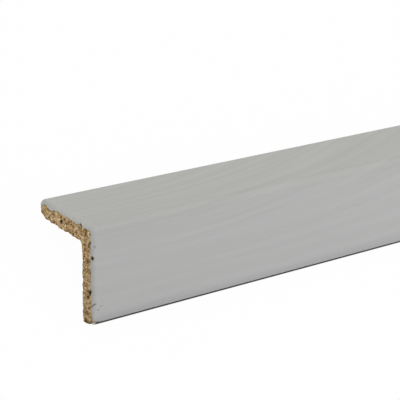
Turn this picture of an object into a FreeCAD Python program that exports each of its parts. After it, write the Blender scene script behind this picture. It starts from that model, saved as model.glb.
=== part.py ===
# Corner guard moulding: one length of pressed wood chip with an L section.
#
# Millimetres. X runs along the moulding, Y across it and Z up. It lies as it rests by itself on a level
# floor, with both toes down and the outer corner up. The origin is on the floor, under the middle.

import FreeCAD, Part
import math
import os

# Driving dimensions
LENGTH = 1219.0         # one sold length, 4 ft
LEG_WIDTH = 28.6        # each leg, from the sharp outer corner to the toe, 1 1/8 in
THICKNESS = 6.1         # both legs
CORNER_RADIUS = 2.2     # outer corner, where the legs meet
TOE_LAND = 1.5          # square land left at the back of each rounded toe
ROOT_RADIUS = 1.0       # inside corner, where the legs meet
END_ARRIS_RADIUS = 1.5  # outer edge of each end, rounded over

# Points closer than this count as one
SAME_PLACE = 1e-6

# Sizes that follow from the driving dimensions
TOE_RADIUS = THICKNESS - TOE_LAND
RIDGE_HEIGHT = (LEG_WIDTH + THICKNESS) / math.sqrt(2)
NEAR_END = -LENGTH / 2


def section_point(down_front, down_back):
    """Point of the near end, by its distances from the outer faces of the back leg and the front leg."""
    across = (down_back - down_front) / math.sqrt(2)
    height = RIDGE_HEIGHT - (down_front + down_back) / math.sqrt(2)
    return FreeCAD.Vector(NEAR_END, across, height)


def depth_below_outside(point):
    """Distance of a point from the nearer of the two outer faces."""
    return (RIDGE_HEIGHT - point.z - abs(point.y)) / math.sqrt(2)


def rounded_outline(corners):
    """Closed wire round the corners, each given as a point and the radius that rounds it, 0 if sharp."""
    starts = []
    arcs = []
    ends = []
    for index, (corner, radius) in enumerate(corners):
        to_last = (corners[index - 1][0] - corner).normalize()
        to_next = (corners[(index + 1) % len(corners)][0] - corner).normalize()
        half_angle = to_last.getAngle(to_next) / 2
        reach = radius / math.tan(half_angle)
        start = corner + to_last * reach
        end = corner + to_next * reach
        if radius > 0:
            inward = (to_last + to_next).normalize()
            middle = corner + inward * (radius / math.sin(half_angle) - radius)
            arcs.append([Part.Arc(start, middle, end).toShape()])
        else:
            arcs.append([])
        starts.append(start)
        ends.append(end)

    edges = []
    for index, end in enumerate(ends):
        next_start = starts[(index + 1) % len(corners)]
        edges.extend(arcs[index])
        edges.append(Part.LineSegment(end, next_start).toShape())
    return Part.Wire(edges)


def l_section():
    """Face of the near end: two equal legs with a rounded outer corner and rounded toes."""
    corners = [
        (section_point(0, 0), CORNER_RADIUS),
        (section_point(LEG_WIDTH, 0), TOE_RADIUS),
        (section_point(LEG_WIDTH, THICKNESS), 0),
        (section_point(THICKNESS, THICKNESS), ROOT_RADIUS),
        (section_point(THICKNESS, LEG_WIDTH), 0),
        (section_point(0, LEG_WIDTH), TOE_RADIUS),
    ]
    return Part.Face(rounded_outline(corners))


def outer_end_edges(solid):
    """Edges of both ends that run round the outside, from one toe over the corner to the other toe."""
    chosen = []
    for edge in solid.Edges:
        middle = edge.valueAt((edge.FirstParameter + edge.LastParameter) / 2)
        on_an_end = all(abs(abs(vertex.X) - LENGTH / 2) < SAME_PLACE for vertex in edge.Vertexes)
        lies_across = abs(abs(middle.x) - LENGTH / 2) < SAME_PLACE
        outside = depth_below_outside(middle) < THICKNESS - SAME_PLACE
        if on_an_end and lies_across and outside:
            chosen.append(edge)
    return chosen


def corner_guard():
    """The moulding: the section run along its length, then both ends rounded over on the outside."""
    length_of_stock = l_section().extrude(FreeCAD.Vector(LENGTH, 0, 0))
    # An end can't be rounder than the corner and toes that its edge runs round.
    arris_radius = min(END_ARRIS_RADIUS, CORNER_RADIUS, TOE_RADIUS)
    return length_of_stock.makeFillet(arris_radius, outer_end_edges(length_of_stock))


os.makedirs("parts", exist_ok=True)
moulding = corner_guard()
moulding.exportStep("parts/corner_guard.step")
print("corner_guard", moulding.isValid(), len(moulding.Solids), round(moulding.Volume, 1), moulding.BoundBox)
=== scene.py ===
# Corner guard moulding: pressed wood chip under a pale ash-grain finish, raw on the ends and the back.
# Metres, in the part's own frame: X along the moulding, Z up, both toes on the floor.

import math
from typing import NamedTuple

import bmesh
import bpy
import numpy as np
from mathutils import Matrix, Vector, noise


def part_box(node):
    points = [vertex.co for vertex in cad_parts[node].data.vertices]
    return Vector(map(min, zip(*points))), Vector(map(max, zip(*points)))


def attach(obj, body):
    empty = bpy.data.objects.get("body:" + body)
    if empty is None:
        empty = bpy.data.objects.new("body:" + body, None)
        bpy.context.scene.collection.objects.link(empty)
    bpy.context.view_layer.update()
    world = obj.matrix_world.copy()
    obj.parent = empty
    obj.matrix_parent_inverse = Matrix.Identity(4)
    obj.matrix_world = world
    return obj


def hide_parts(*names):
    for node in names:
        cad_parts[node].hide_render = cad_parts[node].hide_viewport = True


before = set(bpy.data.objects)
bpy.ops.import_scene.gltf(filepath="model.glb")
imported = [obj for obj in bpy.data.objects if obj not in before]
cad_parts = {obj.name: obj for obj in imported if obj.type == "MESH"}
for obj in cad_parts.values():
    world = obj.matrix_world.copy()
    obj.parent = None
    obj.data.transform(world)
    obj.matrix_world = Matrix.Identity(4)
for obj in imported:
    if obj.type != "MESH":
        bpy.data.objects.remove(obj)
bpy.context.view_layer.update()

MM = 0.001
NODE = "corner_guard"

# The moulding's section and ends, as the part has them
LEG_WIDTH = 28.6 * MM
THICKNESS = 6.1 * MM
CORNER_RADIUS = 2.2 * MM
TOE_LAND = 1.5 * MM
TOE_RADIUS = THICKNESS - TOE_LAND
ROOT_RADIUS = 1.0 * MM
ARRIS_RADIUS = 1.5 * MM
RIDGE_HEIGHT = (LEG_WIDTH + THICKNESS) / math.sqrt(2)
BACK_WIDTH = LEG_WIDTH - THICKNESS
HALF_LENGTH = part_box(NODE)[1].x

# The rounded end edge is narrow round each toe, and widens on from there over these stretches
TOE_ARRIS = 0.05 * MM
FRONT_TOE_STRETCH = (6.0 * MM, 8.2 * MM)
BACK_TOE_STRETCH = (5.5 * MM, 10.5 * MM)

# Distances round half the section, from a toe's back edge to the corner
TOE_END = TOE_LAND + TOE_RADIUS * math.pi / 2
OUTER_FLAT_END = TOE_END + LEG_WIDTH - TOE_RADIUS - CORNER_RADIUS
HALF_OUTSIDE = OUTER_FLAT_END + CORNER_RADIUS * math.pi / 4
INNER_FLAT = BACK_WIDTH - ROOT_RADIUS
HALF_INSIDE = INNER_FLAT + ROOT_RADIUS * math.pi / 4

# Mesh spacing: fine round both ends, where raw chips show, and coarse between
HALF_STATIONS = 170
CAP_STEPS = 32
ARRIS_STEPS = 12
FINE_REACH = 8.0 * MM
FINE_ROWS = 14
FINE_GROWTH = 1.14
COARSE_FIRST_STEP = 1.2 * MM
COARSE_GROWTH = 1.35
COARSE_LARGEST_STEP = 12.0 * MM
COARSE_EVERY_ON_ARCS = 3
COARSE_EVERY_ON_FLATS = 10

# Raw chips near the ends: bent flakes at random heights, longer along the moulding, over larger lumps. The
# seed settles how they bend, which would change from run to run without it.
CHIP_SEED = 4
CHIP_SIZE = 0.7 * MM
CHIP_STRETCH = 2.0
CHIP_BEND = 0.35
CHIP_BEND_SCALE = 1.7
CHIP_RELIEF = 0.32 * MM
CHIP_SPREAD = 97.0
CHIP_GAP_DEPTH = 0.25 * MM
CHIP_GAP_WIDTH = 0.16
LUMP_SIZE = 1.5 * MM
LUMP_RELIEF = 0.42 * MM
LUMP_LEVEL = 0.2
DEEPEST = 0.8 * MM

# Beyond this distance from an end the chips fade out, until the fine mesh ends, and there are no pits
RELIEF_REACH = 0.5 * FINE_REACH

# The finish reaches over its edge onto the raw chips, and that edge is ragged
FINISH_OVERLAP = 0.45 * MM
FINISH_WANDER = 0.40 * MM
FINISH_WANDER_SIZE = 1.6 * MM
FINE_WANDER_SHARE = 0.6
FINE_WANDER_SCALE = 3.1
FINISH_EDGE_SOFT = 0.12 * MM
FINISH_FAR = 3.0 * MM

# By an end the finish draws back from the back edges of the toes, and from most of the front leg's toe.
# On the back leg, a little further from the toe, it reaches onto the end instead. The reach, the fade, the
# rise and the fall are distances from a toe's back edge.
TOE_BARE = 0.7 * MM
TOE_BARE_REACH = 6.0 * MM
FRONT_TOE_BARE = 3.5 * MM
FRONT_TOE_BARE_FADE = (4.8 * MM, 6.0 * MM)
BACK_TOE_WRAP = 0.7 * MM
BACK_TOE_WRAP_RISE = (3.0 * MM, 6.0 * MM)
BACK_TOE_WRAP_FALL = (9.0 * MM, 15.0 * MM)

# Pits of the near end, in mm: distance along the moulding, down the front leg and behind its face, then
# the radius and how dark the pit is. The far end has the same pits with the legs changed over.
PITS = [
    (0.0, 4.2, 17.3, 0.62, 0.97),
    (0.0, 3.9, 14.2, 0.42, 0.80),
    (0.0, 1.7, 6.6, 0.55, 1.00),
    (0.0, 2.8, 7.8, 0.40, 0.60),
    (0.0, 3.2, 4.3, 0.60, 0.75),
    (0.0, 4.2, 8.8, 0.45, 0.50),
    (0.0, 2.8, 2.0, 0.45, 0.70),
    (0.0, 5.0, 2.0, 0.50, 0.85),
    (0.0, 5.9, 2.5, 0.40, 0.70),
    (0.5, 5.7, 0.4, 0.35, 0.30),
    (0.0, 4.8, 23.4, 0.40, 0.50),
    (0.0, 3.4, 21.8, 0.40, 0.50),
    (0.0, 2.2, 20.5, 0.35, 0.50),
    (0.0, 5.4, 10.4, 0.45, 0.60),
    (0.0, 7.8, 4.8, 0.45, 0.60),
    (0.05, 9.0, 1.1, 0.58, 1.00),
    (0.0, 10.9, 3.8, 0.50, 0.75),
    (0.0, 13.6, 2.3, 0.45, 0.60),
    (0.0, 18.6, 2.0, 0.52, 0.95),
    (0.0, 19.4, 2.6, 0.68, 1.00),
    (0.0, 20.8, 3.6, 0.52, 0.95),
    (0.0, 23.8, 3.1, 0.45, 0.75),
    (0.0, 25.4, 4.5, 0.50, 0.70),
    # The next four pits darken the front toe's bottom corner: partly dark chips, partly painted shade
    # where the toe meets the floor.
    (0.0, 27.9, 4.9, 0.70, 0.75),
    (0.0, 28.3, 3.7, 0.60, 0.65),
    (0.0, 28.0, 2.6, 0.60, 0.60),
    (0.3, 27.5, 1.6, 0.60, 0.50),
    (2.10, 22.5, 0.0, 0.32, 0.22),
    (1.10, 23.4, 0.0, 0.34, 0.18),
]
PIT_DEPTH = 0.45
PIT_STEEPNESS = 8

# A scratch over the finish's edge, by places along it that are given like those of the pits
SCRATCH = [
    (0.56, 21.6, 0.33),
    (0.16, 22.0, 0.82),
    (0.02, 22.5, 1.27),
    (0.0, 22.9, 2.0),
    (0.0, 23.8, 3.1),
]
SCRATCH_STEPS = 21
SCRATCH_RADIUS = 0.22
SCRATCH_DARKNESS = 0.55

# Crumbled corner of an end, at the toe of one leg: its depth, its reach up and along, how fast it fades
# with height, and how far it takes the finish back
CRUMBLE_DEPTH = 1.4 * MM
CRUMBLE_REACH = 3.4 * MM
CRUMBLE_ALONG = 5.0 * MM
CRUMBLE_FALL = 1.5
CRUMBLE_BARE = 2 * CRUMBLE_DEPTH

# Distances that differ by less than this count as the same
SAME_PLACE = 0.001 * MM

# The camera, by the near end: along the moulding, behind the front face and above the top face
CAMERA_PLACE = (-162.11 * MM, -277.68 * MM, 124.67 * MM)
CAMERA_YAW = math.radians(35.067)
CAMERA_DOWN = math.radians(20.043)
CAMERA_ROLL = math.radians(0.914)
CAMERA_LENS = 122.22


# Section geometry

def part_points(along, down_front, down_back):
    """Points in the part's frame, from distances along it, down the front leg and down the back leg."""
    across = (down_back - down_front) / math.sqrt(2)
    height = RIDGE_HEIGHT - (down_front + down_back) / math.sqrt(2)
    return np.stack([along + 0 * across, across, height], axis=-1)


def part_directions(along, down_front, down_back):
    """Directions in the part's frame, from the same three components."""
    across = (down_back - down_front) / math.sqrt(2)
    height = -(down_front + down_back) / math.sqrt(2)
    return np.stack([along + 0 * across, across, height], axis=-1)


def leg_distances(points):
    """Distances of points in the part's frame down the front leg and down the back leg."""
    below = RIDGE_HEIGHT - points[:, 2]
    return (below - points[:, 1]) / math.sqrt(2), (below + points[:, 1]) / math.sqrt(2)


def smooth_step(low, high, value):
    share = np.clip((value - low) / (high - low), 0, 1)
    return share * share * (3 - 2 * share)


def both_legs(front_half):
    """The front leg's rows of (down front, down back), then the back leg's, which are its mirror image."""
    return np.concatenate([front_half, front_half[-2::-1, ::-1]])


def outside_stations():
    """Points and inward normals round the outside, from the front toe's back edge to the back toe's."""
    distance = np.linspace(0, HALF_OUTSIDE, HALF_STATIONS + 1)
    land = np.minimum(distance, TOE_LAND)
    toe_turn = np.clip((distance - TOE_LAND) / TOE_RADIUS, 0, math.pi / 2)
    flat = np.clip(distance - TOE_END, 0, OUTER_FLAT_END - TOE_END)
    corner_turn = np.clip((distance - OUTER_FLAT_END) / CORNER_RADIUS, 0, math.pi / 4)
    toe_rise = TOE_RADIUS * (1 - np.cos(toe_turn))
    toe_out = TOE_RADIUS * np.sin(toe_turn)
    corner_rise = CORNER_RADIUS * np.sin(corner_turn)
    corner_in = CORNER_RADIUS * (1 - np.cos(corner_turn))
    down_front = LEG_WIDTH - toe_rise - flat - corner_rise
    down_back = THICKNESS - land - toe_out + corner_in
    turn = toe_turn + corner_turn
    points = both_legs(np.stack([down_front, down_back], axis=1))
    inward = both_legs(np.stack([-np.cos(turn), np.sin(turn)], axis=1))
    from_toe = np.concatenate([distance, distance[-2::-1]])
    unrolled = np.concatenate([distance - HALF_OUTSIDE, (HALF_OUTSIDE - distance)[-2::-1]])
    return points, inward, from_toe, unrolled


def inside_stations(front_inset, back_inset):
    """Points and inward normals along the back, one for each outside station, with the toes set in."""
    distance = np.linspace(0, HALF_OUTSIDE, HALF_STATIONS + 1)
    along_back = np.interp(distance, [0, TOE_END, HALF_OUTSIDE], [0, TOE_RADIUS, HALF_INSIDE])
    root_turn = np.clip((along_back - INNER_FLAT) / ROOT_RADIUS, 0, math.pi / 4)
    halves = []
    for inset in (front_inset, back_inset):
        flat = np.minimum(along_back, INNER_FLAT) * (INNER_FLAT - inset) / INNER_FLAT
        down_leg = LEG_WIDTH - inset - flat - ROOT_RADIUS * np.sin(root_turn)
        behind_leg = THICKNESS + ROOT_RADIUS * (1 - np.cos(root_turn))
        halves.append(np.stack([down_leg, behind_leg], axis=1))
    points = np.concatenate([halves[0], halves[1][-2::-1, ::-1]])
    inward = both_legs(np.stack([-np.sin(root_turn), -np.cos(root_turn)], axis=1))
    from_toe = np.concatenate([along_back, along_back[-2::-1]])
    return points, inward, from_toe


OUT_POINTS, OUT_INWARD, OUT_FROM_TOE, UNROLLED = outside_stations()
STATIONS = len(OUT_POINTS)
ARRIS = TOE_ARRIS + (ARRIS_RADIUS - TOE_ARRIS) * np.where(
    UNROLLED < 0,
    smooth_step(*FRONT_TOE_STRETCH, OUT_FROM_TOE),
    smooth_step(*BACK_TOE_STRETCH, OUT_FROM_TOE),
)


def coarse_stations():
    """Stations kept between the ends: closer on the rounded toes and corner than on the flats."""
    kept = []
    for station in range(HALF_STATIONS + 1):
        on_flat = TOE_END < OUT_FROM_TOE[station] < OUTER_FLAT_END
        every = COARSE_EVERY_ON_FLATS if on_flat else COARSE_EVERY_ON_ARCS
        if station % every == 0 or station == HALF_STATIONS:
            kept.append(station)
    mirrored = [STATIONS - 1 - station for station in kept[-2::-1]]
    return np.array(kept + mirrored)


# Texture map of the mesh: sheets laid out on a square, finer at the ends than between them. Columns, lines
# and their steps are in map pixels. Scales are map pixels for a millimetre, each way.

MAP_NAME = "OFBake"
MAP_PIXELS = 1024
MAP_MARGIN = 6
OUTSIDE_SCALE = (0.83, 4.9)
BACK_ROWS = 3
BACK_COLUMN = 20
BACK_LINE = 372
BACK_LINE_STEP = 114
BACK_SCALE = (2.3, 2.3)
END_LINE = 720
CAP_COLUMN_STEP = 286
CAP_SCALE = (9.6, 9.6)
END_COLUMN = 580
END_LINE_STEP = 70
END_BACK_LINE_STEP = 140
END_SCALE = (6.0, 7.4)


class Sheet(NamedTuple):
    """A part of the map: the two measures of a vertex that it lays out, their lowest values in metres, the
    sheet's lowest corner and its scale."""
    measures: tuple
    start: tuple
    corner: tuple
    scale: tuple


def map_sheets():
    """The map's sheets: the outside, the back in rows, and each end's flat, outside and back."""
    sheets = {}
    margin = (MAP_MARGIN, MAP_MARGIN)
    sheets["outside"] = Sheet(("along", "unrolled"), (0, -HALF_OUTSIDE), margin, OUTSIDE_SCALE)
    row_length = 2 * HALF_LENGTH / BACK_ROWS
    for row in range(BACK_ROWS):
        start = (row * row_length, -BACK_WIDTH)
        corner = (BACK_COLUMN, BACK_LINE + BACK_LINE_STEP * row)
        sheets["back", row] = Sheet(("along", "back"), start, corner, BACK_SCALE)
    for place, side in enumerate((-1, 1)):
        line = END_LINE + END_LINE_STEP * place
        cap_corner = (MAP_MARGIN + CAP_COLUMN_STEP * place, END_LINE)
        outside_corner = (END_COLUMN, line)
        back_corner = (END_COLUMN, line + END_BACK_LINE_STEP)
        outside_start = (-HALF_OUTSIDE, 0)
        back_start = (-BACK_WIDTH, 0)
        sheets["cap", side] = Sheet(("down_front", "down_back"), (0, 0), cap_corner, CAP_SCALE)
        end_outside = Sheet(("unrolled", "from_flat"), outside_start, outside_corner, END_SCALE)
        sheets["end outside", side] = end_outside
        sheets["end back", side] = Sheet(("back", "from_flat"), back_start, back_corner, END_SCALE)
    return sheets


# One closed mesh

class Vertices(NamedTuple):
    """Some vertices: their places, the directions into the material, the distances inside the edge of the
    finish, the distances round the section from the corner, the distances from the nearer end, and those
    from the flat of that end as the texture map lays them out."""
    points: np.ndarray
    inward: np.ndarray
    cover: np.ndarray
    unrolled: np.ndarray
    end_distance: np.ndarray
    map_distance: np.ndarray


class Skin:
    """Vertices and faces of the moulding, and the sheet of the texture map that each face is on."""

    def __init__(self):
        self.blocks = []
        self.count = 0
        self.faces = []
        self.sheets = []

    def add(self, vertices):
        """Adds vertices and returns their numbers."""
        self.blocks.append(vertices)
        first = self.count
        self.count += len(vertices.points)
        return np.arange(first, self.count)

    def all_vertices(self):
        return Vertices(*(np.concatenate(values) for values in zip(*self.blocks)))

    def face(self, corners, sheet):
        """Adds a face on a sheet of the map, without corners that repeat."""
        kept = [corner for place, corner in enumerate(corners) if corner != corners[place - 1]]
        if len(kept) > 2:
            self.faces.append(kept)
            self.sheets.append(sheet)


def unit(vectors):
    return vectors / np.linalg.norm(vectors, axis=-1, keepdims=True)


def add_ring(skin, side, from_end, turn, stations):
    """One ring of vertices round the section. side is -1 at the near end and 1 at the far end. from_end
    has the ring's distance from that end at each station. turn is how far the rounded end edge has turned
    there, from 0 on the long faces to a right angle on the end."""
    from_end = from_end[stations]
    arris = ARRIS[stations]
    along = side * (HALF_LENGTH - from_end)
    inset = arris * (1 - math.cos(turn))
    outside = OUT_POINTS[stations] + inset[:, None] * OUT_INWARD[stations]
    in_points, in_inward, in_from_toe = (
        table[stations] for table in inside_stations(inset[0], inset[-1])
    )

    out_normal = OUT_INWARD[stations] * math.cos(turn)
    out_directions = part_directions(-side * math.sin(turn), out_normal[:, 0], out_normal[:, 1])
    back_facing = -side if turn == math.pi / 2 else 0.0
    back_directions = part_directions(back_facing, in_inward[:, 0], in_inward[:, 1])
    for toe in (0, -1):
        out_directions[toe] += back_directions[toe]

    end_distance = np.minimum(from_end, 2 * HALF_LENGTH - from_end)
    out_edge = arris * (math.pi / 2 - turn) + np.maximum(end_distance - arris, 0)
    out_cover = np.minimum(out_edge, OUT_FROM_TOE[stations])
    fine_share = np.clip((end_distance - arris) / (FINE_REACH - arris), 0, 1)
    map_distance = ARRIS_RADIUS * (math.pi / 2 - turn) + (FINE_REACH - ARRIS_RADIUS) * fine_share
    back = slice(-2, 0, -1)
    out_places = part_points(along, outside[:, 0], outside[:, 1])
    back_places = part_points(along, in_points[:, 0], in_points[:, 1])
    unrolled = UNROLLED[stations]
    return skin.add(Vertices(
        points=np.concatenate([out_places, back_places[back]]),
        inward=unit(np.concatenate([out_directions, back_directions[back]])),
        cover=np.concatenate([out_cover, -in_from_toe[back]]),
        unrolled=np.concatenate([unrolled, unrolled[back]]),
        end_distance=np.concatenate([end_distance, end_distance[back]]),
        map_distance=np.concatenate([map_distance, map_distance[back]]),
    ))


def join_rings(skin, ring, next_ring, outside_sheet, back_sheet):
    """Quads between two rings with the same stations."""
    outside_places = len(ring) // 2
    for place in range(len(ring)):
        sheet = outside_sheet if 1 <= place <= outside_places else back_sheet
        skin.face([ring[place - 1], ring[place], next_ring[place], next_ring[place - 1]], sheet)


def join_fine_to_coarse(skin, fine, coarse, stations, outside_sheet, back_sheet):
    """Triangles from each step of the coarse ring to the fine ring's vertices along it."""
    back_stations = 2 * (STATIONS - 1) - stations[-2:0:-1]
    places = np.concatenate([stations, back_stations, [2 * (STATIONS - 1)]])
    for step in range(len(coarse)):
        sheet = outside_sheet if places[step] < STATIONS - 1 else back_sheet
        fine_side = [fine[place % len(fine)] for place in range(places[step], places[step + 1] + 1)]
        coarse_side = (coarse[step], coarse[(step + 1) % len(coarse)])
        middle = len(fine_side) // 2
        for place in range(len(fine_side) - 1):
            skin.face([coarse_side[place >= middle], fine_side[place], fine_side[place + 1]], sheet)
        skin.face([coarse_side[0], fine_side[middle], coarse_side[1]], sheet)


def add_cap(skin, side, ring):
    """The flat of an end, as a grid between the outside and the back of its ring."""
    outside = OUT_POINTS + ARRIS[:, None] * OUT_INWARD
    inside = inside_stations(ARRIS[0], ARRIS[-1])[0]
    grid = np.zeros((STATIONS, CAP_STEPS + 1), int)
    grid[:, 0] = ring[:STATIONS]
    grid[1:-1, -1] = ring[:STATIONS - 1:-1]
    grid[0, :] = ring[0]
    grid[-1, :] = ring[STATIONS - 1]
    for step in range(1, CAP_STEPS):
        share = step / CAP_STEPS
        flat = (outside + share * (inside - outside))[1:-1]
        depth = share * np.linalg.norm(inside - outside, axis=1)[1:-1]
        points = part_points(side * HALF_LENGTH, flat[:, 0], flat[:, 1])
        inward = np.tile([-side, 0.0, 0.0], (len(points), 1))
        at_end = np.zeros(len(points))
        grid[1:-1, step] = skin.add(Vertices(points, inward, -depth, UNROLLED[1:-1], at_end, at_end))
    for station in range(STATIONS - 1):
        for step in range(CAP_STEPS):
            near = grid[station]
            far = grid[station + 1]
            skin.face([near[step], far[step], far[step + 1], near[step + 1]], ("cap", side))


def fine_rows():
    """Distance from the end at each station and turn of the end edge, for each fine ring inwards."""
    rows = []
    for step in range(ARRIS_STEPS + 1):
        turn = math.pi / 2 * (1 - step / ARRIS_STEPS)
        rows.append((ARRIS * (1 - math.sin(turn)), turn))
    steps = np.cumsum(FINE_GROWTH ** np.arange(FINE_ROWS))
    for share in steps[:-1] / steps[-1]:
        rows.append((ARRIS + share * (FINE_REACH - ARRIS), 0.0))
    return rows


def coarse_rows():
    """Distances from the near end of the coarse rings, growing further apart towards the middle."""
    half = [FINE_REACH]
    spacing = COARSE_FIRST_STEP
    while half[-1] + spacing < HALF_LENGTH:
        half.append(half[-1] + spacing)
        spacing = min(spacing * COARSE_GROWTH, COARSE_LARGEST_STEP)
    return half + [2 * HALF_LENGTH - from_end for from_end in reversed(half)]


def build_skin():
    skin = Skin()
    every_station = np.arange(STATIONS)
    few_stations = coarse_stations()
    distances = coarse_rows()
    coarse = []
    for distance in distances:
        coarse.append(add_ring(skin, -1, np.full(STATIONS, distance), 0.0, few_stations))
    for index in range(len(coarse) - 1):
        row = int(BACK_ROWS * distances[index] / (2 * HALF_LENGTH))
        join_rings(skin, coarse[index], coarse[index + 1], "outside", ("back", row))
    for side, coarse_ring in ((-1, coarse[0]), (1, coarse[-1])):
        rings = []
        for from_end, turn in fine_rows():
            rings.append(add_ring(skin, side, from_end, turn, every_station))
        end_sheets = (("end outside", side), ("end back", side))
        add_cap(skin, side, rings[0])
        for ring, next_ring in zip(rings, rings[1:]):
            join_rings(skin, ring, next_ring, *end_sheets)
        join_fine_to_coarse(skin, rings[-1], coarse_ring, few_stations, *end_sheets)
    return skin


# Relief of the raw chips

def chip_relief(point):
    """Depth of the raw chips at a point: flakes at random heights, with gaps, over larger lumps."""
    place = Vector((point[0] / CHIP_STRETCH, point[1], point[2])) / CHIP_SIZE
    place += CHIP_BEND * noise.noise_vector(CHIP_BEND_SCALE * place)
    distances, centres = noise.voronoi(place)
    height = 0.5 + 0.5 * noise.cell(CHIP_SPREAD * centres[0])
    gap = math.exp(-(distances[1] - distances[0]) / CHIP_GAP_WIDTH)
    lump = noise.noise(Vector(point) / LUMP_SIZE) - LUMP_LEVEL
    return CHIP_RELIEF * height + CHIP_GAP_DEPTH * gap + LUMP_RELIEF * lump


def finish_wander(point):
    """How far the ragged edge of the finish strays at a point."""
    place = Vector(point) / FINISH_WANDER_SIZE
    fine = noise.noise(FINE_WANDER_SCALE * place)
    return FINISH_WANDER * (noise.noise(place) + FINE_WANDER_SHARE * fine)


def scratch_pits():
    """The scratch, as a row of small pits."""
    turns = np.arange(len(SCRATCH))
    steps = np.linspace(0, turns[-1], SCRATCH_STEPS)
    places = zip(*(np.interp(steps, turns, distances) for distances in np.transpose(SCRATCH)))
    return [(*place, SCRATCH_RADIUS, SCRATCH_DARKNESS) for place in places]


def pit_depth(side, points):
    """Depth of the pits of an end at points near it, and how dark they make each point."""
    down_front, down_back = leg_distances(points)
    if side > 0:
        down_front, down_back = down_back, down_front
    from_end = HALF_LENGTH - np.abs(points[:, 0])
    depth = np.zeros(len(points))
    dark = np.zeros(len(points))
    for along, front, back, radius, darkness in PITS + scratch_pits():
        away = np.stack([from_end - along * MM, down_front - front * MM, down_back - back * MM])
        bowl = np.exp(-(np.linalg.norm(away, axis=0) / (radius * MM)) ** PIT_STEEPNESS)
        depth = np.maximum(depth, PIT_DEPTH * radius * MM * bowl)
        dark = np.maximum(dark, darkness * bowl)
    return depth, dark


def crumbled(points, end_distance):
    """Share of the full depth of the crumbled corner at each point. Each end has it on another leg."""
    on_that_leg = points[:, 0] * points[:, 1] < 0
    low = np.clip(1 - points[:, 2] / CRUMBLE_REACH, 0, 1) ** CRUMBLE_FALL
    return on_that_leg * low * (1 - smooth_step(0, CRUMBLE_ALONG, end_distance))


def toe_cover(unrolled, end_distance):
    """How much further the finish reaches by the toes of an end: less than 0 where it leaves them bare."""
    from_toe = HALF_OUTSIDE - np.abs(unrolled)
    at_toe = 1 - smooth_step(0, TOE_BARE_REACH, from_toe)
    under_front_toe = (unrolled < 0) * (1 - smooth_step(*FRONT_TOE_BARE_FADE, from_toe))
    past_back_toe = smooth_step(*BACK_TOE_WRAP_RISE, from_toe)
    wrapped = past_back_toe * (1 - smooth_step(*BACK_TOE_WRAP_FALL, from_toe))
    wrapped *= unrolled > 0
    bare = TOE_BARE * at_toe + FRONT_TOE_BARE * under_front_toe
    at_end = 1 - smooth_step(0, FINE_REACH, end_distance)
    return (BACK_TOE_WRAP * wrapped - bare) * at_end


def carve(vertices):
    """Places of the vertices once the raw chips, the pits and the crumbled corners are carved, and at each
    the distance inside the edge of the finish, the share of the deepest relief and a pit's darkness."""
    points = vertices.points
    end_distance = vertices.end_distance
    cover = vertices.cover + FINISH_OVERLAP
    relief = np.zeros(len(points))
    noise.seed_set(CHIP_SEED)
    for index in np.flatnonzero(end_distance < FINE_REACH - SAME_PLACE):
        cover[index] += finish_wander(points[index])
        relief[index] = chip_relief(points[index])
    crumble = crumbled(points, end_distance)
    cover += toe_cover(vertices.unrolled, end_distance) - CRUMBLE_BARE * crumble
    raw = 1 - smooth_step(-FINISH_EDGE_SOFT, FINISH_EDGE_SOFT, cover)
    depth = raw * relief * (1 - smooth_step(RELIEF_REACH, FINE_REACH, end_distance))
    pit = np.zeros(len(points))
    for side in (-1, 1):
        here = np.flatnonzero((end_distance < RELIEF_REACH) & (np.sign(points[:, 0]) == side))
        bowl, dark = pit_depth(side, points[here])
        depth[here] = np.maximum(depth[here], bowl)
        pit[here] = dark
    carved = points + depth[:, None] * vertices.inward
    carved[:, 2] += CRUMBLE_DEPTH * crumble
    carved[:, 0] = np.clip(carved[:, 0], -HALF_LENGTH, HALF_LENGTH)
    carved[:, 2] = np.maximum(carved[:, 2], 0)
    hollow = np.clip(depth / DEEPEST, 0, 1)
    return carved, cover, hollow, pit


def add_texture_map(mesh, skin, vertices):
    """Lays each face on its sheet of the map, by measures of its vertices before the relief."""
    down_front, down_back = leg_distances(vertices.points)
    measures = {
        "along": vertices.points[:, 0] + HALF_LENGTH,
        "from_flat": vertices.map_distance,
        "unrolled": vertices.unrolled,
        "back": down_back - down_front,
        "down_front": down_front,
        "down_back": down_back,
    }
    corner_vertex = np.zeros(len(mesh.loops), np.int32)
    mesh.loops.foreach_get("vertex_index", corner_vertex)
    corner_face = np.repeat(np.arange(len(skin.faces)), [len(face) for face in skin.faces])
    places = np.zeros((len(corner_vertex), 2), np.float32)
    for name, sheet in map_sheets().items():
        on_sheet = np.array([face_sheet == name for face_sheet in skin.sheets])[corner_face]
        for axis in (0, 1):
            measure = measures[sheet.measures[axis]][corner_vertex[on_sheet]] - sheet.start[axis]
            places[on_sheet, axis] = (sheet.corner[axis] + sheet.scale[axis] * measure / MM) / MAP_PIXELS
    mesh.uv_layers.new(name=MAP_NAME).data.foreach_set("uv", places.ravel())


def moulding_mesh():
    skin = build_skin()
    vertices = skin.all_vertices()
    points, cover, hollow, pit = carve(vertices)
    mesh = bpy.data.meshes.new("corner_guard_skin")
    mesh.from_pydata(points.tolist(), [], skin.faces)
    values = {
        "cover_mm": np.clip(cover, -FINISH_FAR, FINISH_FAR) / MM,
        "unrolled_mm": vertices.unrolled / MM,
        "hollow": hollow,
        "pit": pit,
    }
    for name, value in values.items():
        attribute = mesh.attributes.new(name, "FLOAT", "POINT")
        attribute.data.foreach_set("value", value.astype(np.float32))
    shape = bmesh.new()
    shape.from_mesh(mesh)
    bmesh.ops.recalc_face_normals(shape, faces=shape.faces)
    shape.to_mesh(mesh)
    shape.free()
    add_texture_map(mesh, skin, vertices)
    mesh.shade_smooth()
    return mesh


# Materials

# Two inputs and the output of a mix node, by number since their names repeat
MIX_COLOUR_SOCKETS = (6, 7, 2)
MIX_NUMBER_SOCKETS = (2, 3, 0)


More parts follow.
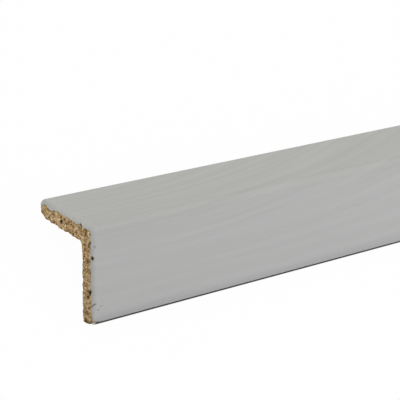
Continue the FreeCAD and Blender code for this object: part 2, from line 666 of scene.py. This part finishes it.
class Graph:
    """Adds shader nodes to a node tree. An input is a number, a colour or another node's output."""

    def __init__(self, tree):
        self.tree = tree

    def feed(self, socket, value):
        if isinstance(value, bpy.types.NodeSocket):
            self.tree.links.new(value, socket)
        else:
            socket.default_value = value

    def add(self, kind, settings=None, **inputs):
        node = self.tree.nodes.new(kind)
        for name, value in (settings or {}).items():
            setattr(node, name, value)
        for name, value in inputs.items():
            self.feed(node.inputs[name.replace("_", " ")], value)
        return node

    def operate(self, kind, operation, values):
        node = self.add(kind, {"operation": operation})
        for socket, value in zip(node.inputs, values):
            self.feed(socket, value)
        return node.outputs[0]

    def math(self, operation, *values):
        return self.operate("ShaderNodeMath", operation, values)

    def vector_math(self, operation, *values):
        return self.operate("ShaderNodeVectorMath", operation, values)

    def between(self, data_type, sockets, share, first, second):
        node = self.add("ShaderNodeMix", {"data_type": data_type}, Factor=share)
        first_input, second_input, output = sockets
        self.feed(node.inputs[first_input], first)
        self.feed(node.inputs[second_input], second)
        return node.outputs[output]

    def mix(self, share, first, second):
        """A colour between two others."""
        return self.between("RGBA", MIX_COLOUR_SOCKETS, share, first, second)

    def blend(self, share, first, second):
        """A number between two others."""
        return self.between("FLOAT", MIX_NUMBER_SOCKETS, share, first, second)

    def shade(self, colour, factor):
        """A colour times a number."""
        node = self.add("ShaderNodeVectorMath", {"operation": "SCALE"}, Vector=colour, Scale=factor)
        return node.outputs[0]

    def ramp(self, value, stops):
        """A colour from stops of position and colour."""
        node = self.add("ShaderNodeValToRGB", Fac=value)
        elements = node.color_ramp.elements
        while len(elements) < len(stops):
            elements.new(0.5)
        for element, (position, colour) in zip(elements, stops):
            element.position = position
            element.color = colour
        return node.outputs["Color"]

    def span(self, value, low, high, to_low=0.0, to_high=1.0, kind="SMOOTHSTEP"):
        """A value carried from one range to another, and held at the ends."""
        node = self.add("ShaderNodeMapRange", {"interpolation_type": kind}, Value=value)
        node.inputs["From Min"].default_value = low
        node.inputs["From Max"].default_value = high
        node.inputs["To Min"].default_value = to_low
        node.inputs["To Max"].default_value = to_high
        return node.outputs["Result"]

    def place(self, along, across, along_scale, across_scale):
        """A point on the unrolled finish, stretched for a texture."""
        point = self.add("ShaderNodeCombineXYZ", X=along, Y=across).outputs[0]
        stretch = (along_scale, across_scale, 1.0)
        return self.add("ShaderNodeMapping", Vector=point, Scale=stretch).outputs[0]

    def noise(self, vector, scale, detail=2.0, roughness=0.5, output="Fac"):
        node = self.add(
            "ShaderNodeTexNoise", Vector=vector, Scale=scale, Detail=detail, Roughness=roughness
        )
        return node.outputs[output]

    def voronoi(self, vector, scale, feature="F1"):
        return self.add("ShaderNodeTexVoronoi", {"feature": feature}, Vector=vector, Scale=scale)

    def centred(self, value):
        """A noise value with its middle carried to 0."""
        return self.math("SUBTRACT", value, 0.5)

    def channel(self, colour, index):
        return self.add("ShaderNodeSeparateColor", Color=colour).outputs[index]

    def attribute(self, name):
        return self.add("ShaderNodeAttribute", {"attribute_name": name}).outputs["Fac"]


# The ash-grain finish, in mm along the moulding and across its unrolled outside, with the corner at 0 and
# the front leg below it. Grain scales are along, then across.
FINISH_COLOUR = (0.433, 0.433, 0.433)
FRONT_SLANT = 0.05
BACK_SLANT = 0.50
SLANT_TURN = 20.0
SWING_LENGTH = 64.0
SWING_START = 509.0
WANDER_SCALE = (0.012, 0.03)
WANDER_DETAIL = 1.0
GRAIN_WANDER = 6.0
BAND_SCALE = (0.012, 0.40)
BAND_ROUGHNESS = 0.55
BAND_CONTRAST = 0.26
BAND_HEIGHT = 0.6
FIBRE_SCALE = (0.05, 1.6)
FIBRE_DETAIL = 3.0
FIBRE_ROUGHNESS = 0.6
FIBRE_CONTRAST = 0.15
FIBRE_HEIGHT = 0.4
FRONT_CONTRAST = 0.6
# Painted shade: the finish is darker over the rounded corner
CORNER_PAINTED_SHADE = 0.945
CORNER_PAINTED_SHADE_FADE = (0.8, 3.0)
# Painted shade: the finish darkens down the front leg towards its toe
FRONT_TOE_PAINTED_SHADE = 0.95
FRONT_TOE_PAINTED_SHADE_FADE = (-33.0, -10.0)

# The raw chips, longer along the moulding: flakes and crumbs for a millimetre, seam widths in shares of a
# chip, and shades that their colour is multiplied by. Leg ranges are in mm across the part, with the front
# leg below 0.
CHIP_TONES = [
    (0.00, (0.210, 0.095, 0.022, 1.0)),
    (0.25, (0.400, 0.245, 0.098, 1.0)),
    (0.55, (0.575, 0.410, 0.222, 1.0)),
    (0.85, (0.720, 0.560, 0.360, 1.0)),
]
FLAKES = 1.2
CRUMBS = 2.7
CRUMB_SHARE = 0.55
CHIP_PLACE_SCALE = (0.55, 1.0, 1.0)
STRAY_SCALE = 1.6
STRAY = (0.7, 0.7, 0.7)
MIDDLE_COLOUR = (0.5, 0.5, 0.5)
SPECK_COLOUR = (0.085, 0.034, 0.007, 1.0)
SPECK_RANGE = (0.86, 0.90)
SPECK_SHARE = 0.75
FLAKE_SEAM_WIDTH = 0.14
FLAKE_SEAM_SHADE = 0.72
CRUMB_SEAM_WIDTH = 0.10
CRUMB_SEAM_SHADE = 0.84
GRIT_SCALE = 6.0
GRIT_DETAIL = 3.0
GRIT_RANGE = (0.3, 0.7)
GRIT_SHADES = (0.85, 1.15)
# Painted shade: the chips are darker where the relief is deepest, and a little lighter where it is shallow
HOLLOW_PAINTED_SHADE_RANGE = (0.2, 0.9)
HOLLOW_PAINTED_SHADES = (1.04, 0.7)
LEG_RANGE = (-12.0, 3.0)
LEG_SHADES = (0.97, 1.16)
PIT_COLOUR = (0.045, 0.017, 0.003, 1.0)

# Where the finish meets the chips, in mm, and how the surface of each takes the light
RAGGED_SCALE = 3.0
RAGGED_REACH = 0.9
COVER_SOFT = 0.06
# Painted shade on the finish near its edge on the front leg, and painted light on it on the back leg
EDGE_PAINTED_LIGHT_REACH = 2.2
EDGE_PAINTED_LIGHT_LEGS = (-6.0, 3.0)
EDGE_PAINTED_LIGHT_SHADES = (0.86, 1.12)
FINISH_BUMP = 0.08
BUMP_STRENGTH = 0.6
BUMP_HEIGHT = 0.15 * MM
CHIP_ROUGHNESS = 0.9
FINISH_ROUGHNESS = 0.55
CHIP_SPECULAR = 0.05
FINISH_SPECULAR = 0.35


def ash_finish(graph, along_mm, across_mm):
    """Colour and height of the ash-grain finish: soft bands with fine fibres, that spread from the corner
    and swing back further along. They slant more on the back leg than on the front one. Painted shade
    makes the finish a little darker along the corner and towards the front leg's toe."""
    back_share = graph.span(across_mm, -SLANT_TURN, SLANT_TURN, kind="LINEAR")
    slant = graph.blend(back_share, FRONT_SLANT, BACK_SLANT)
    swing_turn = graph.math("DIVIDE", graph.math("ADD", along_mm, SWING_START), SWING_LENGTH)
    swing = graph.math("MULTIPLY", graph.math("SINE", swing_turn), SWING_LENGTH)
    wander = graph.noise(graph.place(along_mm, across_mm, *WANDER_SCALE), 1.0, WANDER_DETAIL)
    wander = graph.math("MULTIPLY", graph.centred(wander), GRAIN_WANDER)
    drift = graph.math("MULTIPLY_ADD", slant, swing, wander)
    grain_across = graph.math("SUBTRACT", across_mm, drift)
    band_place = graph.place(along_mm, grain_across, *BAND_SCALE)
    bands = graph.noise(band_place, 1.0, roughness=BAND_ROUGHNESS)
    fibre_place = graph.place(along_mm, grain_across, *FIBRE_SCALE)
    fibres = graph.noise(fibre_place, 1.0, FIBRE_DETAIL, FIBRE_ROUGHNESS)
    tone = graph.math("MULTIPLY", graph.centred(bands), BAND_CONTRAST)
    tone = graph.math("MULTIPLY_ADD", graph.centred(fibres), FIBRE_CONTRAST, tone)
    tone = graph.math("MULTIPLY_ADD", tone, graph.blend(back_share, FRONT_CONTRAST, 1.0), 1.0)
    from_corner = graph.math("ABSOLUTE", across_mm)
    # Painted shade over the rounded corner
    painted_shade_by_corner = graph.span(from_corner, *CORNER_PAINTED_SHADE_FADE, CORNER_PAINTED_SHADE, 1.0)
    tone = graph.math("MULTIPLY", tone, painted_shade_by_corner)
    # Painted shade towards the front leg's toe
    painted_shade_by_front_toe = graph.span(across_mm, *FRONT_TOE_PAINTED_SHADE_FADE, FRONT_TOE_PAINTED_SHADE, 1.0, "LINEAR")
    tone = graph.math("MULTIPLY", tone, painted_shade_by_front_toe)
    band_height = graph.math("MULTIPLY", bands, BAND_HEIGHT)
    fibre_height = graph.math("MULTIPLY", fibres, FIBRE_HEIGHT)
    height = graph.math("ADD", band_height, fibre_height)
    return graph.shade(FINISH_COLOUR, tone), height


def raw_chips(graph, place_mm):
    """Colour and height of the raw chips: a mosaic of flakes and crumbs, with dark gaps and specks."""
    noise_colour = graph.noise(place_mm, STRAY_SCALE, output="Color")
    stray = graph.vector_math("SUBTRACT", noise_colour, MIDDLE_COLOUR)
    bent_place = graph.vector_math("MULTIPLY_ADD", stray, STRAY, place_mm)
    flakes = graph.voronoi(bent_place, FLAKES)
    crumbs = graph.voronoi(bent_place, CRUMBS)
    flake_seams = graph.voronoi(bent_place, FLAKES, "DISTANCE_TO_EDGE").outputs["Distance"]
    crumb_seams = graph.voronoi(bent_place, CRUMBS, "DISTANCE_TO_EDGE").outputs["Distance"]
    flake_tone = graph.channel(flakes.outputs["Color"], 0)
    crumb_tone = graph.channel(crumbs.outputs["Color"], 1)
    tone = graph.blend(CRUMB_SHARE, flake_tone, crumb_tone)
    colour = graph.ramp(tone, CHIP_TONES)
    speck = graph.span(graph.channel(crumbs.outputs["Color"], 2), *SPECK_RANGE, 0.0, SPECK_SHARE)
    colour = graph.mix(speck, colour, SPECK_COLOUR)
    flake_shade = graph.span(flake_seams, 0.0, FLAKE_SEAM_WIDTH, FLAKE_SEAM_SHADE, 1.0)
    crumb_shade = graph.span(crumb_seams, 0.0, CRUMB_SEAM_WIDTH, CRUMB_SEAM_SHADE, 1.0)
    seam_shade = graph.math("MULTIPLY", flake_shade, crumb_shade)
    grit = graph.span(graph.noise(place_mm, GRIT_SCALE, GRIT_DETAIL), *GRIT_RANGE, *GRIT_SHADES)
    colour = graph.shade(colour, graph.math("MULTIPLY", seam_shade, grit))
    height = graph.math("MULTIPLY", seam_shade, tone)
    return colour, height


def moulding_material():
    """The finish outside and raw chips elsewhere, by the mesh's distance inside the edge of the finish."""
    material = bpy.data.materials.new("ash_finish_on_chip")
    material.use_nodes = True
    tree = material.node_tree
    tree.nodes.clear()
    graph = Graph(tree)
    place = graph.add("ShaderNodeTexCoord").outputs["Object"]
    to_mm = (1 / MM, 1 / MM, 1 / MM)
    place_mm = graph.add("ShaderNodeMapping", Vector=place, Scale=to_mm).outputs[0]
    parts_mm = graph.add("ShaderNodeSeparateXYZ", Vector=place_mm)
    along_mm = parts_mm.outputs["X"]
    across_mm = parts_mm.outputs["Y"]
    flake_place = graph.add("ShaderNodeMapping", Vector=place_mm, Scale=CHIP_PLACE_SCALE).outputs[0]

    finish_colour, finish_height = ash_finish(graph, along_mm, graph.attribute("unrolled_mm"))
    chip_colour, chip_height = raw_chips(graph, flake_place)
    # Painted shade in the hollows of the chip relief
    hollow_painted_shade = graph.span(graph.attribute("hollow"), *HOLLOW_PAINTED_SHADE_RANGE, *HOLLOW_PAINTED_SHADES)
    chip_colour = graph.shade(chip_colour, hollow_painted_shade)
    chip_colour = graph.shade(chip_colour, graph.span(across_mm, *LEG_RANGE, *LEG_SHADES))

    ragged = graph.math("MULTIPLY", graph.centred(graph.noise(place_mm, RAGGED_SCALE)), RAGGED_REACH)
    edge = graph.math("ADD", graph.attribute("cover_mm"), ragged)
    covered = graph.span(edge, -COVER_SOFT, COVER_SOFT)
    # Painted shade near the finish's edge on the front leg, painted light near it on the back leg
    edge_painted_light = graph.span(across_mm, *EDGE_PAINTED_LIGHT_LEGS, *EDGE_PAINTED_LIGHT_SHADES)
    finish_painted_light = graph.blend(graph.span(edge, 0.0, EDGE_PAINTED_LIGHT_REACH), edge_painted_light, 1.0)
    finish_colour = graph.shade(finish_colour, finish_painted_light)
    colour = graph.mix(covered, chip_colour, finish_colour)
    pit = graph.attribute("pit")
    colour = graph.mix(pit, colour, PIT_COLOUR)
    sheen = graph.math("MULTIPLY", covered, graph.math("SUBTRACT", 1.0, pit))

    height = graph.blend(covered, chip_height, graph.math("MULTIPLY", finish_height, FINISH_BUMP))
    bump = graph.add("ShaderNodeBump", Height=height, Strength=BUMP_STRENGTH, Distance=BUMP_HEIGHT)
    shader = graph.add(
        "ShaderNodeBsdfPrincipled",
        Base_Color=colour,
        Roughness=graph.blend(sheen, CHIP_ROUGHNESS, FINISH_ROUGHNESS),
        Specular_IOR_Level=graph.blend(sheen, CHIP_SPECULAR, FINISH_SPECULAR),
        Normal=bump.outputs[0],
    )
    output = graph.add("ShaderNodeOutputMaterial")
    graph.feed(output.inputs["Surface"], shader.outputs[0])
    return material


# Floor, light and camera

WHITE = (1.0, 1.0, 1.0, 1.0)
FLOOR_SIZE = 30.0
FLOOR_COLOUR = (0.40, 0.40, 0.40, 1.0)
# Painted contact shadow: a dark strip on the floor under each toe, with this colour and these sizes
CREVICE_PAINTED_SHADOW_COLOUR = (0.10, 0.10, 0.10, 1.0)
FLOOR_WHITENESS = 0.96
FLOOR_GLOW = 1.02
CONTACT_LINE = BACK_WIDTH / math.sqrt(2)
CREVICE_WIDTH = 1.78 * MM
CREVICE_FADE = (1.5 * MM, 3.7 * MM)
CREVICE_SOFT = 0.08 * MM
HORIZON_LIGHT = 0.82
ZENITH_LIGHT = 1.10
FRONT_LIGHT_COLOUR = (0.75, 0.75, 0.78, 1.0)
BACK_LIGHT_COLOUR = (1.14, 1.14, 1.05, 1.0)
NEAR_SIDE_LIGHT = 1.42
FAR_SIDE_LIGHT = 0.58
SOFTBOX_PLACE = (-0.42, -0.26, 0.20)
SOFTBOX_AIM = (-0.54, 0.0, 0.012)
SOFTBOX_SIZE = 0.2
SOFTBOX_POWER = 0.28


def seen_directly(graph):
    """1 for what is seen by the camera, in a reflection or through glass, and 0 for other light."""
    path = graph.add("ShaderNodeLightPath")
    seen = graph.math("MAXIMUM", path.outputs["Is Camera Ray"], path.outputs["Is Glossy Ray"])
    return graph.math("MAXIMUM", seen, path.outputs["Is Transmission Ray"])


def painted_shadow_share(graph):
    """1 on the floor under a rounded toe, from the line it stands on outwards, and 0 elsewhere: a painted
    contact shadow.
    """
    place = graph.add("ShaderNodeTexCoord").outputs["Object"]
    parts = graph.add("ShaderNodeSeparateXYZ", Vector=place)
    along = graph.math("ABSOLUTE", parts.outputs["X"])
    aside = graph.math("ABSOLUTE", parts.outputs["Y"])
    fade_end, fade_start = (HALF_LENGTH - distance for distance in CREVICE_FADE)
    outer = CONTACT_LINE + CREVICE_WIDTH
    within_length = graph.span(along, fade_start, fade_end, 1.0, 0.0)
    outside_line = graph.span(aside, CONTACT_LINE - CREVICE_SOFT, CONTACT_LINE + CREVICE_SOFT)
    under_toe = graph.span(aside, outer - CREVICE_SOFT, outer + CREVICE_SOFT, 1.0, 0.0)
    return graph.math("MULTIPLY", within_length, graph.math("MULTIPLY", outside_line, under_toe))


def add_floor():
    """A pale floor that is seen as white, but for a painted contact shadow: a dark line where the moulding
    meets it.
    """
    mesh = bpy.data.meshes.new("floor")
    half = FLOOR_SIZE / 2
    corners = [(-half, -half, 0), (half, -half, 0), (half, half, 0), (-half, half, 0)]
    mesh.from_pydata(corners, [], [(0, 1, 2, 3)])
    floor = bpy.data.objects.new("floor", mesh)
    bpy.context.scene.collection.objects.link(floor)
    material = bpy.data.materials.new("white_floor")
    material.use_nodes = True
    material.node_tree.nodes.clear()
    graph = Graph(material.node_tree)
    # Painted contact shadow under the toes
    painted_shadow = painted_shadow_share(graph)
    whiteness = graph.span(painted_shadow, 0.0, 1.0, FLOOR_WHITENESS, 0.0, "LINEAR")
    plain_colour = graph.mix(painted_shadow, FLOOR_COLOUR, CREVICE_PAINTED_SHADOW_COLOUR)
    plain = graph.add("ShaderNodeBsdfDiffuse", Color=plain_colour).outputs[0]
    white = graph.add("ShaderNodeEmission", Color=WHITE, Strength=FLOOR_GLOW).outputs[0]
    mixed = graph.add("ShaderNodeMixShader")
    graph.feed(mixed.inputs[0], graph.math("MULTIPLY", seen_directly(graph), whiteness))
    graph.feed(mixed.inputs[1], plain)
    graph.feed(mixed.inputs[2], white)
    output = graph.add("ShaderNodeOutputMaterial")
    graph.feed(output.inputs["Surface"], mixed.outputs[0])
    mesh.materials.append(material)


def add_world():
    """White surroundings, with most light from overhead and past the near end, a little warmer behind."""
    world = bpy.data.worlds.new("studio")
    world.use_nodes = True
    world.node_tree.nodes.clear()
    graph = Graph(world.node_tree)
    direction = graph.add("ShaderNodeTexCoord").outputs["Generated"]
    parts = graph.add("ShaderNodeSeparateXYZ", Vector=direction)
    height_light = graph.span(parts.outputs["Z"], 0.0, 1.0, HORIZON_LIGHT, ZENITH_LIGHT, "LINEAR")
    side_light = graph.span(parts.outputs["X"], -1.0, 1.0, NEAR_SIDE_LIGHT, FAR_SIDE_LIGHT, "LINEAR")
    light = graph.math("MULTIPLY", height_light, side_light)
    strength = graph.blend(seen_directly(graph), light, 1.0)
    behind = graph.span(parts.outputs["Y"], -1.0, 1.0, kind="LINEAR")
    colour = graph.mix(behind, FRONT_LIGHT_COLOUR, BACK_LIGHT_COLOUR)
    background = graph.add("ShaderNodeBackground", Color=colour, Strength=strength)
    output = graph.add("ShaderNodeOutputWorld")
    graph.feed(output.inputs["Surface"], background.outputs[0])
    bpy.context.scene.world = world


def add_softbox():
    """A small soft lamp in front of the front leg, beside the near end."""
    light = bpy.data.lights.new("softbox", "AREA")
    light.size = SOFTBOX_SIZE
    light.energy = SOFTBOX_POWER
    lamp = bpy.data.objects.new("softbox", light)
    lamp.location = SOFTBOX_PLACE
    lamp.rotation_euler = (Vector(SOFTBOX_AIM) - lamp.location).to_track_quat("-Z", "Y").to_euler()
    lamp.visible_camera = False
    lamp.visible_glossy = False
    bpy.context.scene.collection.objects.link(lamp)


def add_camera():
    """The camera looks along the moulding from in front of the front leg. Its directions are along the
    moulding, behind the front face and above the top face, and are then turned into the part's frame."""
    level = math.cos(CAMERA_DOWN)
    along_level = math.sin(CAMERA_YAW) * level
    behind_level = math.cos(CAMERA_YAW) * level
    forward = Vector((along_level, behind_level, -math.sin(CAMERA_DOWN)))
    right = forward.cross(Vector((0, 0, 1))).normalized()
    up = right.cross(forward)
    rolled_right = math.cos(CAMERA_ROLL) * right + math.sin(CAMERA_ROLL) * up
    rolled_up = math.cos(CAMERA_ROLL) * up - math.sin(CAMERA_ROLL) * right
    axes = [part_directions(axis.x, -axis.z, axis.y) for axis in (rolled_right, rolled_up, -forward)]
    camera = bpy.data.objects.new("camera", bpy.data.cameras.new("camera"))
    camera.data.lens = CAMERA_LENS
    turned = Matrix(np.array(axes).T.tolist()).to_4x4()
    along, behind, above = CAMERA_PLACE
    place = part_points(np.array(along - HALF_LENGTH), np.array(-above), np.array(behind))
    camera.matrix_world = Matrix.Translation(place.tolist()) @ turned
    bpy.context.scene.collection.objects.link(camera)
    bpy.context.scene.camera = camera


moulding = bpy.data.objects.new("corner_guard_moulding", moulding_mesh())
bpy.context.scene.collection.objects.link(moulding)
moulding.data.materials.append(moulding_material())
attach(moulding, "root")
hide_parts(NODE)

add_floor()
add_world()
add_softbox()
add_camera()
bpy.context.scene.view_settings.view_transform = "Standard"
